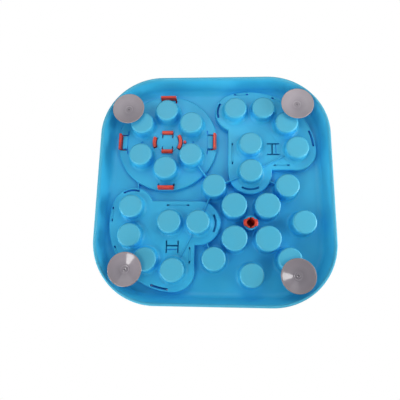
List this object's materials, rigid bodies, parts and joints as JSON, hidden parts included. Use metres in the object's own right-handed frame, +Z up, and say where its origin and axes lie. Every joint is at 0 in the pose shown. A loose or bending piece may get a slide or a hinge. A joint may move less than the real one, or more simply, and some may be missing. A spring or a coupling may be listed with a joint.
{
  "type": "dog puzzle toy",
  "caption": "Square plastic treat puzzle for dogs: a skirted tray of treat cups under a turntable, sliding lids and a spinner, on suction-cup feet.",
  "frame": {"origin": "on the resting surface under the middle of the square tray", "axes": "+Z up towards the play side; -Y towards the turntable and the right-hand track zone, +X towards the right-hand track zone and the spinner"},
  "size_m": [0.2504, 0.2504, 0.0406],
  "materials": {
    "blue_plastic": "satin moulded polypropylene",
    "red_plastic": "satin moulded polypropylene",
    "grey_pvc": "soft translucent vinyl"
  },
  "bodies": {
    "board": {"tray": "blue_plastic", "right_cup_block": "blue_plastic", "left_cup_block": "blue_plastic", "round_cup_block": "blue_plastic", "spinner_cup_block": "blue_plastic", "turntable_bezel": "red_plastic", "turntable_hub": "red_plastic", "right_track_cover": "blue_plastic", "left_track_cover": "blue_plastic", "spinner_pin": "red_plastic", "suction_cup_front_left": "grey_pvc", "suction_cup_front_right": "grey_pvc", "suction_cup_rear_left": "grey_pvc", "suction_cup_rear_right": "grey_pvc"},
    "turntable": {"turntable_disc": "blue_plastic"},
    "right_arc": {"right_arc_slider": "red_plastic"},
    "right_straight": {"right_straight_slider": "red_plastic"},
    "left_arc": {"left_arc_slider": "red_plastic"},
    "left_straight": {"left_straight_slider": "red_plastic"},
    "spinner": {"spinner_wheel": "red_plastic"}
  },
  "joints": [
    {"name": "turntable_spin", "type": "hinge", "parent": "board", "child": "turntable", "pos_m": [-0.0528, -0.0528, 0.0252], "axis": [0, 0, 1], "continuous": true},
    {"name": "right_arc_slide", "type": "hinge", "parent": "board", "child": "right_arc", "pos_m": [0.039, -0.0397, 0.0222], "axis": [0, 0, 1], "range_deg": [0, 70.4]},
    {"name": "right_straight_slide", "type": "slide", "parent": "board", "child": "right_straight", "axis": [0, 1, 0], "range_m": [0, 0.0304]},
    {"name": "left_arc_slide", "type": "hinge", "parent": "board", "child": "left_arc", "pos_m": [-0.0397, 0.039, 0.0222], "axis": [0, 0, -1], "range_deg": [0, 70.4]},
    {"name": "left_straight_slide", "type": "slide", "parent": "board", "child": "left_straight", "axis": [1, 0, 0], "range_m": [0, 0.0304]},
    {"name": "spinner_spin", "type": "hinge", "parent": "board", "child": "spinner", "pos_m": [0.0392, 0.0392, 0.0317], "axis": [0, 0, 1], "continuous": true}
  ]
}
